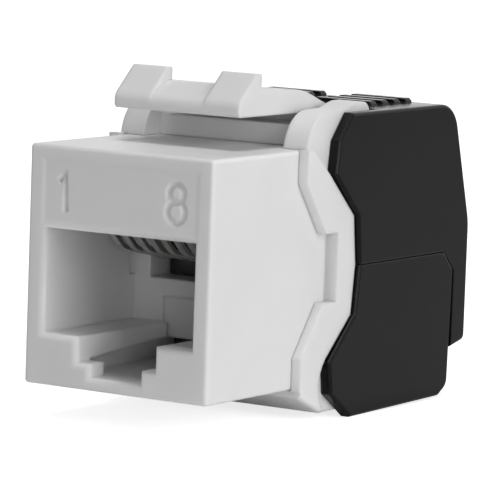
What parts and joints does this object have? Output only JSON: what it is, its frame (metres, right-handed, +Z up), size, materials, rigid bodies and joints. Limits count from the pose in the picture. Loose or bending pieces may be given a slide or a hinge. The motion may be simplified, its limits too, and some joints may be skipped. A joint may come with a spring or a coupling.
{
  "type": "keystone jack",
  "caption": "Keystone network jack: box with a stepped plug socket and spring contacts, a sprung latch arm for a panel opening, and hinged wire caps over the terminals at the rear.",
  "frame": {"origin": "centre of the front face, in the plane of that face", "axes": "X to the right seen from the front, Y from the front face towards the cable, Z up towards the latch arm"},
  "size_m": [0.0166, 0.031, 0.0233],
  "materials": {
    "white_plastic": "fine satin moulding texture",
    "black_plastic": "fine satin moulding texture",
    "comb_plastic": "satin",
    "board": "black solder mask over glass fibre",
    "contact_metal": "nickel plated bronze",
    "blade_metal": "tin plated bronze"
  },
  "bodies": {
    "jack_body": {"front_housing": "white_plastic", "rear_body": "white_plastic", "contact_carrier": "comb_plastic", "circuit_board": "board", "contact_1": "contact_metal", "contact_2": "contact_metal", "contact_3": "contact_metal", "contact_4": "contact_metal", "contact_5": "contact_metal", "contact_6": "contact_metal", "contact_7": "contact_metal", "contact_8": "contact_metal", "blade_1": "blade_metal", "blade_2": "blade_metal", "blade_3": "blade_metal", "blade_4": "blade_metal", "blade_5": "blade_metal", "blade_6": "blade_metal", "blade_7": "blade_metal", "blade_8": "blade_metal"},
    "upper_cap": {"upper_wing": "black_plastic"},
    "lower_cap": {"lower_wing": "black_plastic"}
  },
  "joints": [
    {"name": "upper_wing_hinge", "type": "hinge", "parent": "jack_body", "child": "upper_cap", "pos_m": [0, 0.0149, 0.00785], "axis": [1, 0, 0], "range_deg": [0, 60]},
    {"name": "lower_wing_hinge", "type": "hinge", "parent": "jack_body", "child": "lower_cap", "pos_m": [0, 0.0149, -0.00785], "axis": [-1, 0, 0], "range_deg": [0, 60]}
  ],
  "couplings": [
    {"joint": "lower_wing_hinge", "follows": "upper_wing_hinge", "ratio": 1}
  ]
}
